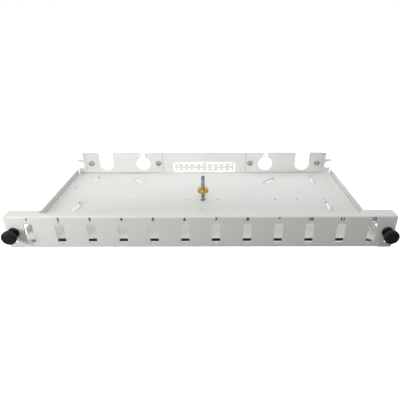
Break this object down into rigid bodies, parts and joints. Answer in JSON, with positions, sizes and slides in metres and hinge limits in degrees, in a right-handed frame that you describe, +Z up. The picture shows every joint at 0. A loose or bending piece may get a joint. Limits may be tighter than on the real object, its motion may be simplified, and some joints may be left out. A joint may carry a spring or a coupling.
{
  "type": "fiber termination box",
  "caption": "Pull-out sheet-steel tray for terminating optical fibre: ported front panel with push-pull latches, splice stud with thumb nut, and rear gland plates.",
  "frame": {"origin": "on the surface that the tray stands on, below the middle of the whole object, clinch nuts and pulled knobs included", "axes": "+X to the right seen from the front, +Y from the front panel to the rear wall, +Z up"},
  "size_m": [0.4826, 0.2676, 0.044],
  "materials": {
    "powder_coat": "light grey semi-gloss powder coat with a fine orange peel",
    "zinc_steel": "bright zinc plating",
    "brass": "turned and knurled, slightly dull",
    "black_nylon": "moulded nylon, satin"
  },
  "bodies": {
    "tray_frame": {"front_panel": "powder_coat", "tray": "powder_coat", "gland_plate_left": "powder_coat", "gland_plate_right": "powder_coat", "gland_screw_left_outer": "zinc_steel", "gland_screw_left_inner": "zinc_steel", "gland_screw_right_inner": "zinc_steel", "gland_screw_right_outer": "zinc_steel", "lock_washer_left_outer": "zinc_steel", "lock_washer_left_inner": "zinc_steel", "lock_washer_right_inner": "zinc_steel", "lock_washer_right_outer": "zinc_steel", "clinch_nut_left_outer": "zinc_steel", "clinch_nut_left_inner": "zinc_steel", "clinch_nut_right_inner": "zinc_steel", "clinch_nut_right_outer": "zinc_steel", "splice_stud": "zinc_steel", "latch_grommet_left": "black_nylon", "latch_grommet_right": "black_nylon"},
    "left_plunger": {"latch_plunger_left": "black_nylon"},
    "right_plunger": {"latch_plunger_right": "black_nylon"},
    "stud_nut": {"thumb_nut": "brass"}
  },
  "joints": [
    {"name": "left_latch", "type": "slide", "parent": "tray_frame", "child": "left_plunger", "axis": [0, 1, 0], "range_m": [0, 0.006]},
    {"name": "right_latch", "type": "slide", "parent": "tray_frame", "child": "right_plunger", "axis": [0, 1, 0], "range_m": [0, 0.006]},
    {"name": "nut_travel", "type": "slide", "parent": "tray_frame", "child": "stud_nut", "axis": [0, 0, 1], "range_m": [-0.0137, 0.0196]}
  ]
}
